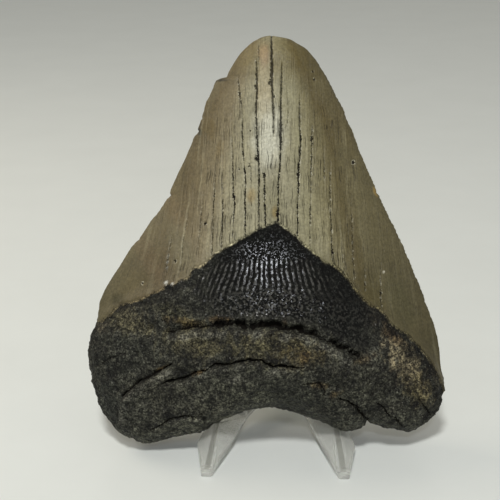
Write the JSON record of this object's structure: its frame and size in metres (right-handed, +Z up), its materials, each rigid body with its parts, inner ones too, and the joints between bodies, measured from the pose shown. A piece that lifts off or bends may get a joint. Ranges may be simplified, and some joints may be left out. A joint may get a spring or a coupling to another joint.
{
  "type": "fossil shark tooth on a clear display stand",
  "caption": "Large serrated triangular fossil tooth with a dark chevron band and a cracked two-lobed root, leaning back on a small clear moulded tripod that holds it up for display.",
  "frame": {"origin": "under the middle of the whole object's box, on the surface that it stands on", "axes": "+Z up, +X to the viewer's right, -Y towards the viewer who faces the tooth's convex side"},
  "size_m": [0.1142, 0.0886, 0.1242],
  "materials": {
    "fossil": "satin",
    "clear_plastic": "gloss"
  },
  "bodies": {
    "root": {"tooth": "fossil", "stand": "clear_plastic"}
  },
  "joints": []
}
